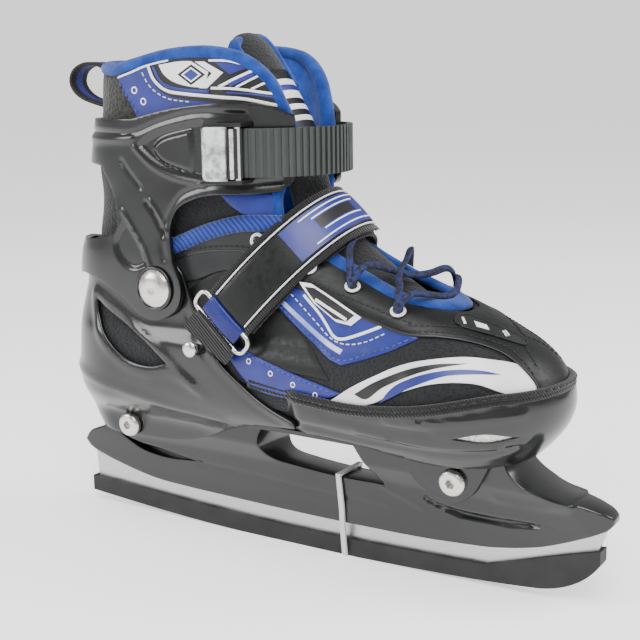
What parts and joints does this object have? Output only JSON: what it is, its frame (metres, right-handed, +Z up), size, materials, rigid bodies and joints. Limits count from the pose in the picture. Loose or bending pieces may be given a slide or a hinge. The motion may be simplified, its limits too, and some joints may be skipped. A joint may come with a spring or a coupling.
{
  "type": "ice skate",
  "caption": "Adjustable recreational ice skate: plastic boot shell with hinged cuff, ratchet buckle, instep strap, soft liner and a steel blade in a guard.",
  "frame": {"origin": "on the ground under the middle of the blade guard's flat, in the blade's plane", "axes": "+X towards the toe, -Y towards the outer (buckle) side of a right boot, +Z up"},
  "size_m": [0.292, 0.0946, 0.247],
  "materials": {
    "steel_blade": "satin",
    "guard_rubber": "matte",
    "tie_nylon": "translucent",
    "black_shell": "gloss",
    "rivet_metal": "bright",
    "spring_steel": "satin",
    "vent_mesh": "mesh",
    "clear_lever": "clear plastic",
    "strap_plastic": "satin",
    "liner_fabric": "woven",
    "collar_fabric": "fleece",
    "foam_insole": "knit over foam",
    "webbing": "webbing",
    "lace_cord": "braided",
    "white_eyelet": "gloss"
  },
  "bodies": {
    "frame": {"blade": "steel_blade", "blade_guard": "guard_rubber", "guard_tie": "tie_nylon", "blade_holder": "black_shell", "heel_shell": "black_shell", "pivot_rivets": "rivet_metal", "frame_bolts": "rivet_metal", "frame_nuts": "rivet_metal", "button_spring": "spring_steel", "rear_upper": "liner_fabric", "insole": "foam_insole", "tongue_lower": "liner_fabric", "instep_strap": "webbing", "strap_ring": "rivet_metal", "ring_tab": "webbing", "rear_eyelets": "white_eyelet"},
    "toe": {"toe_shell": "black_shell", "toe_vents": "vent_mesh", "front_upper": "liner_fabric", "front_eyelets": "white_eyelet", "laces": "lace_cord"},
    "cuff": {"cuff_shell": "black_shell", "collar": "collar_fabric", "tongue_upper": "collar_fabric", "pull_loop": "webbing", "buckle_base": "black_shell", "buckle_rivet": "rivet_metal", "lever_pin": "spring_steel", "pawl_pin": "spring_steel", "strap_screw": "rivet_metal"},
    "strap": {"ladder_strap": "strap_plastic"},
    "lever": {"buckle_lever": "clear_lever"},
    "pawl": {"buckle_pawl": "spring_steel"},
    "button": {"size_button": "rivet_metal"},
    "flap": {"strap_flap": "webbing"}
  },
  "joints": [
    {"name": "cuff_pivot", "type": "hinge", "parent": "frame", "child": "cuff", "pos_m": [-0.0656, 0, 0.1289], "axis": [0, 1, 0], "range_deg": [-3, 7]},
    {"name": "toe_slide", "type": "slide", "parent": "frame", "child": "toe", "axis": [1, 0, 0], "range_m": [0, 0.02]},
    {"name": "size_button_press", "type": "slide", "parent": "frame", "child": "button", "axis": [0, 1, 0], "range_m": [0, 0.0022], "stiffness_N_per_m": 400},
    {"name": "flap_peel", "type": "hinge", "parent": "frame", "child": "flap", "pos_m": [-0.025, -0.0416, 0.117], "axis": [0.7431, 0, -0.6691], "range_deg": [0, 110]},
    {"name": "strap_ratchet", "type": "hinge", "parent": "cuff", "child": "strap", "pos_m": [-0.0276, -0.001, 0.1935], "axis": [0, 0, 1], "range_deg": [-8, 2]},
    {"name": "lever_open", "type": "hinge", "parent": "cuff", "child": "lever", "pos_m": [-0.01222, -0.04353, 0.1935], "axis": [0, 0, 1], "range_deg": [0, 70]},
    {"name": "pawl_lift", "type": "hinge", "parent": "cuff", "child": "pawl", "pos_m": [-0.02204, -0.04541, 0.1935], "axis": [0, 0, -1], "range_deg": [0, 15], "stiffness_Nm_per_rad": 0.01}
  ]
}
